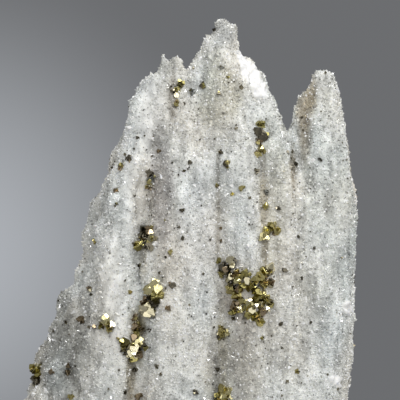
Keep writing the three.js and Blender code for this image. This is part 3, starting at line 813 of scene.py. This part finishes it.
def chalcopyrite_group(node, surface, random):
    """The crystals that stand for one solid, on the side of the specimen where it is."""
    low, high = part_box(node)
    facing = -1 if (low.y + high.y) / 2 < FRONT_DEPTH else 1
    wanted = from_photo(PLACED[node]) if node in PLACED else crystals_in(node, random)
    return chalcopyrite_piece(f"{node}_crystals", wanted, surface, facing, random)


# Materials

BARITE_IOR = 1.636
BARITE_SCATTER = (1.0, 0.97, 0.9)


def material(name):
    made = bpy.data.materials.new(name)
    made.use_nodes = True
    nodes, links = made.node_tree.nodes, made.node_tree.links
    return made, nodes, links, nodes["Principled BSDF"]


def noise_node(nodes, links, scale, detail=3.0):
    """Noise fixed to the object, at scale lumps per metre."""
    where = nodes.new("ShaderNodeTexCoord")
    made = nodes.new("ShaderNodeTexNoise")
    made.inputs["Scale"].default_value = scale
    made.inputs["Detail"].default_value = detail
    links.new(where.outputs["Object"], made.inputs["Vector"])
    return made


def toned(nodes, links, shader, scale, low, high):
    """The piece's tone attribute, made lighter and darker by fine noise, as the shader's base colour."""
    tone = nodes.new("ShaderNodeAttribute")
    tone.attribute_name = "tone"
    shade = nodes.new("ShaderNodeMapRange")
    shade.inputs["To Min"].default_value = low
    shade.inputs["To Max"].default_value = high
    mix = nodes.new("ShaderNodeMix")
    mix.data_type = "RGBA"
    mix.blend_type = "MULTIPLY"
    mix.inputs["Factor"].default_value = 1.0
    links.new(noise_node(nodes, links, scale).outputs["Fac"], shade.inputs["Value"])
    links.new(tone.outputs["Color"], mix.inputs["A"])
    links.new(shade.outputs["Result"], mix.inputs["B"])
    links.new(mix.outputs["Result"], shader.inputs["Base Color"])


def bumpy(nodes, links, shader, scale, depth):
    bump = nodes.new("ShaderNodeBump")
    bump.inputs["Strength"].default_value = 0.5
    bump.inputs["Distance"].default_value = depth
    links.new(noise_node(nodes, links, scale, 4.0).outputs["Fac"], bump.inputs["Height"])
    links.new(bump.outputs["Normal"], shader.inputs["Normal"])


def uneven_roughness(nodes, links, shader, scale, low, high):
    spread = nodes.new("ShaderNodeMapRange")
    spread.inputs["To Min"].default_value = low
    spread.inputs["To Max"].default_value = high
    links.new(noise_node(nodes, links, scale).outputs["Fac"], spread.inputs["Value"])
    links.new(spread.outputs["Result"], shader.inputs["Roughness"])


def translucent(shader, weight, scale):
    """Lets light into barite as far as scale, which stays below the size of what has the material."""
    shader.inputs["Subsurface Weight"].default_value = weight
    shader.inputs["Subsurface Radius"].default_value = BARITE_SCATTER
    shader.inputs["Subsurface Scale"].default_value = scale
    shader.inputs["IOR"].default_value = BARITE_IOR


def surface_material():
    made, nodes, links, shader = material("barite, massive")
    toned(nodes, links, shader, scale=1800, low=0.85, high=1.2)
    uneven_roughness(nodes, links, shader, scale=900, low=0.3, high=0.6)
    bumpy(nodes, links, shader, scale=2600, depth=0.15 * MM)
    translucent(shader, weight=0.6, scale=1.2 * MM)
    return made


def crystal_material():
    made, nodes, links, shader = material("barite, small crystals")
    toned(nodes, links, shader, scale=2400, low=0.95, high=1.2)
    uneven_roughness(nodes, links, shader, scale=1500, low=0.03, high=0.15)
    translucent(shader, weight=0.5, scale=0.15 * MM)
    return made


def chalcopyrite_material():
    made, nodes, links, shader = material("chalcopyrite")
    toned(nodes, links, shader, scale=1400, low=0.6, high=1.4)
    uneven_roughness(nodes, links, shader, scale=1400, low=0.1, high=0.3)
    bumpy(nodes, links, shader, scale=2600, depth=0.05 * MM)
    shader.inputs["Metallic"].default_value = 1.0
    return made


# Stage, light and camera

def floor():
    """A plain pale floor just below the specimen's cut base."""
    left, right = -FLOOR_WIDTH / 2, FLOOR_WIDTH / 2
    corners = [(left, FLOOR_FRONT), (right, FLOOR_FRONT), (right, FLOOR_BACK), (left, FLOOR_BACK)]
    points = np.array([(x, y, FLOOR_HEIGHT) for x, y in corners])
    made = mesh_object("floor", points, [[0, 1, 2, 3]])
    paper, nodes, links, shader = material("paper")
    shader.inputs["Base Color"].default_value = FLOOR_TONE
    uneven_roughness(nodes, links, shader, scale=400, low=0.8, high=0.95)
    made.data.materials.append(paper)


def surroundings():
    """Light from all round, graded by direction."""
    world = bpy.data.worlds.new("studio")
    world.use_nodes = True
    nodes, links = world.node_tree.nodes, world.node_tree.links
    where = nodes.new("ShaderNodeTexCoord")
    away = nodes.new("ShaderNodeVectorMath")
    away.operation = "DISTANCE"
    away.inputs[1].default_value = PALEST_DIRECTION
    links.new(where.outputs["Generated"], away.inputs[0])
    ramp = nodes.new("ShaderNodeValToRGB")
    ramp.color_ramp.interpolation = "EASE"
    stops = ramp.color_ramp.elements
    while len(stops) < len(SURROUNDINGS):
        stops.new(0.5)
    for stop, (distance, colour) in zip(stops, SURROUNDINGS):
        stop.position = distance
        stop.color = colour
    links.new(away.outputs["Value"], ramp.inputs["Fac"])
    links.new(ramp.outputs["Color"], nodes["Background"].inputs["Color"])
    bpy.context.scene.world = world


def area_light(name, place, side, watts, colour):
    light = bpy.data.lights.new(name, "AREA")
    light.size = side
    light.energy = watts
    light.color = colour
    made = bpy.data.objects.new(name, light)
    made.location = place
    made.rotation_mode = "QUATERNION"
    made.rotation_quaternion = (Vector(place) - Vector(AIM)).to_track_quat("Z", "Y")
    bpy.context.scene.collection.objects.link(made)


def studio():
    """Plain soft light, with three small lamps that make the crystals sparkle."""
    for light in LIGHTS:
        area_light(*light)
    bpy.context.scene.view_settings.view_transform = "Standard"


def camera():
    """A long lens, level with the photograph's middle, framing what the photograph frames."""
    lens = bpy.data.cameras.new("camera")
    lens.sensor_width = SENSOR_WIDTH
    lens.lens = SENSOR_WIDTH * CAMERA_DISTANCE / (PHOTO_SIDE * PIXEL)
    made = bpy.data.objects.new("camera", lens)
    x, height = at_pixel(PHOTO_SIDE / 2, PHOTO_SIDE / 2)
    made.location = (x, FACE_Y - CAMERA_DISTANCE, height)
    made.rotation_euler = (np.pi / 2, 0, 0)
    bpy.context.scene.collection.objects.link(made)
    bpy.context.scene.camera = made


def dress(piece, finish, slot, *nodes):
    """Gives the piece its material, the solids it stands for and the body it rides on. The slot is not
    used.
    """
    piece.data.materials.clear()
    piece.data.materials.append(finish)
    if nodes:
        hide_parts(*nodes)
    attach(piece, "root")


random = np.random.default_rng(7)
mass, shaded_hollow = barite_mass()
massive, crystalline, metal = surface_material(), crystal_material(), chalcopyrite_material()
dress(mass, massive, "barite", "barite_mass")
for piece in [*druse(mass, shaded_hollow, random), blades(mass, shaded_hollow, random)]:
    dress(piece, crystalline, "barite")
dress(dark_grains(mass, random), metal, "chalcopyrite")

surface = BVHTree.FromPolygons(
    vertex_places(mass.data).tolist(), [list(face.vertices) for face in mass.data.polygons])
for node in sorted(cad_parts):
    if node != "barite_mass":
        dress(chalcopyrite_group(node, surface, random), metal, "chalcopyrite", node)
singles = chalcopyrite_piece("chalcopyrite_singles", from_photo(SINGLES), surface, -1, random)
dress(singles, metal, "chalcopyrite")

floor()
surroundings()
studio()
camera()
